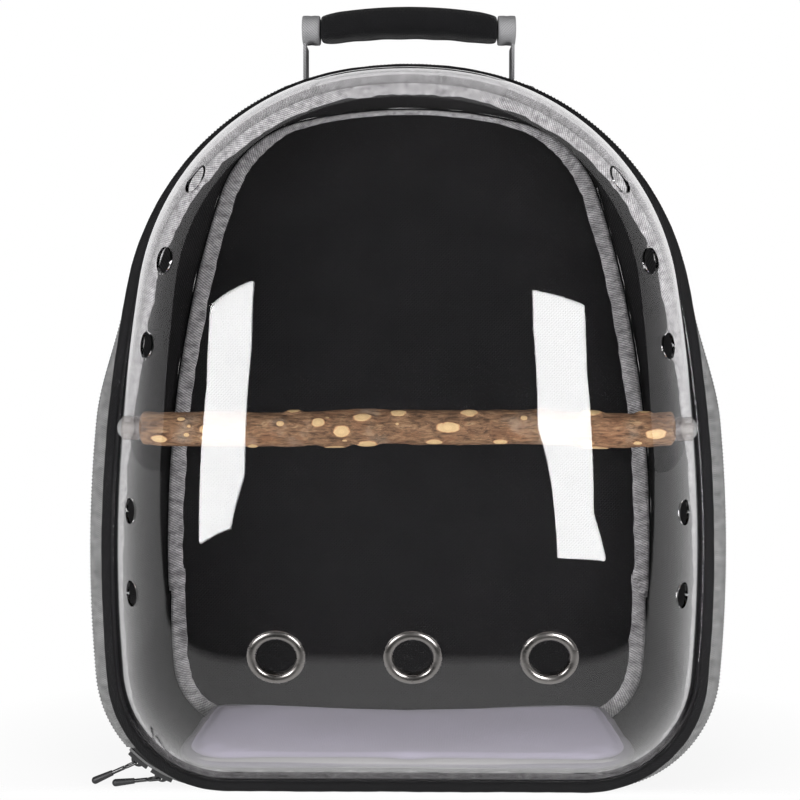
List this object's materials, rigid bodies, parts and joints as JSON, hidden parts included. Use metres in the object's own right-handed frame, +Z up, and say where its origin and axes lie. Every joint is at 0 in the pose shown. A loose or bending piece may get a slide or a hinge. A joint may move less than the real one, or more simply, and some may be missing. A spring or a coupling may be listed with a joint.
{
  "type": "bird travel carrier",
  "caption": "Backpack bird carrier with a clear domed front door, a branch perch, ringed air vents, a zipped rim, a padded mat, a top handle and padded straps.",
  "frame": {"origin": "middle of the flat base, on the floor", "axes": "+X to the right seen from the front, -Y out of the clear door, +Z up"},
  "size_m": [0.3386, 0.2739, 0.4231],
  "materials": {
    "clear_sheet": "clear, polished",
    "black_binding": "woven, matt",
    "grey_twill": "twill tape, matt",
    "dark_nickel": "dark nickel, polished",
    "branch_wood": "bark with cut knots",
    "seat_rubber": "smooth",
    "screw_steel": "plain",
    "zip_coil": "coil, satin",
    "zip_metal": "black lacquer",
    "pull_rubber": "moulded, satin",
    "black_oxford": "oxford cloth",
    "board": "stiff board",
    "mat_cloth": "soft, lavender grey",
    "handle_cloth": "padded cloth",
    "grey_webbing": "woven webbing",
    "pad_mesh": "spacer mesh",
    "black_webbing": "woven webbing",
    "black_plastic": "moulded, satin"
  },
  "bodies": {
    "bag": {"zip_tape_rear": "grey_twill", "zip_teeth_rear": "zip_coil", "zip_closed_end": "zip_coil", "zip_stops": "zip_metal", "hinge_strip": "black_binding", "gusset": "black_oxford", "back_lining": "black_oxford", "back_board": "board", "back_panel": "black_oxford", "back_binding": "grey_twill", "base_board": "board", "base_cover": "black_oxford", "floor_mat": "mat_cloth", "handle_anchors": "grey_webbing", "back_pad": "pad_mesh", "strap_yoke": "black_webbing", "shoulder_strap_left": "pad_mesh", "shoulder_strap_right": "pad_mesh", "strap_tail_left": "black_webbing", "strap_tail_right": "black_webbing", "ladder_lock_left": "black_plastic", "ladder_lock_right": "black_plastic", "corner_anchors": "black_webbing"},
    "door": {"dome_shell": "clear_sheet", "rim_binding": "black_binding", "rim_lining": "grey_twill", "eyelet_left": "dark_nickel", "eyelet_centre": "dark_nickel", "eyelet_right": "dark_nickel", "eyelet_washer_left": "dark_nickel", "eyelet_washer_centre": "dark_nickel", "eyelet_washer_right": "dark_nickel", "perch_branch": "branch_wood", "perch_seats": "seat_rubber", "perch_screws": "screw_steel", "zip_tape_front": "grey_twill", "zip_teeth_front": "zip_coil"},
    "slider_upper": {"slider_upper": "zip_metal"},
    "slider_lower": {"slider_lower": "zip_metal"},
    "pull_upper": {"pull_upper": "zip_metal", "pull_grip_upper": "pull_rubber"},
    "pull_lower": {"pull_lower": "zip_metal", "pull_grip_lower": "pull_rubber"},
    "handle_leg_left": {"handle_leg_left": "grey_webbing"},
    "handle_leg_right": {"handle_leg_right": "grey_webbing"},
    "handle_grip": {"handle_grip": "handle_cloth", "handle_wraps": "grey_webbing"}
  },
  "joints": [
    {"name": "door_hinge", "type": "hinge", "parent": "bag", "child": "door", "pos_m": [0, -0.0705, 0.003], "axis": [1, 0, 0], "range_deg": [0, 95]},
    {"name": "slider_upper_travel", "type": "hinge", "parent": "bag", "child": "slider_upper", "pos_m": [-0.10133, -0.06092, 0.06558], "axis": [0, 0.9996, -0.0279], "range_deg": [-0.5, 38]},
    {"name": "slider_lower_travel", "type": "hinge", "parent": "bag", "child": "slider_lower", "pos_m": [-0.10133, -0.06092, 0.06558], "axis": [0, 0.9996, -0.0279], "range_deg": [-5, 0.5]},
    {"name": "pull_upper_swing", "type": "hinge", "parent": "slider_upper", "child": "pull_upper", "pos_m": [-0.14533, -0.06238, 0.01316], "axis": [0, 0.9996, -0.0279], "range_deg": [0, 52]},
    {"name": "pull_lower_swing", "type": "hinge", "parent": "slider_lower", "child": "pull_lower", "pos_m": [-0.13241, -0.06262, 0.00461], "axis": [0, 0.9996, -0.0279], "range_deg": [0, 2.2]},
    {"name": "handle_lean", "type": "hinge", "parent": "bag", "child": "handle_leg_left", "pos_m": [-0.0572, -0.004, 0.38243], "axis": [0, 1, 0], "range_deg": [-55, 55], "stiffness_Nm_per_rad": 0.04},
    {"name": "grip_level", "type": "hinge", "parent": "handle_leg_left", "child": "handle_grip", "pos_m": [-0.0572, -0.004, 0.40093], "axis": [0, 1, 0], "range_deg": [-55, 55]},
    {"name": "leg_right_lean", "type": "hinge", "parent": "bag", "child": "handle_leg_right", "pos_m": [0.0572, -0.004, 0.38243], "axis": [0, 1, 0], "range_deg": [-55, 55]}
  ],
  "couplings": [
    {"joint": "grip_level", "follows": "handle_lean", "ratio": -1},
    {"joint": "leg_right_lean", "follows": "handle_lean", "ratio": 1}
  ]
}
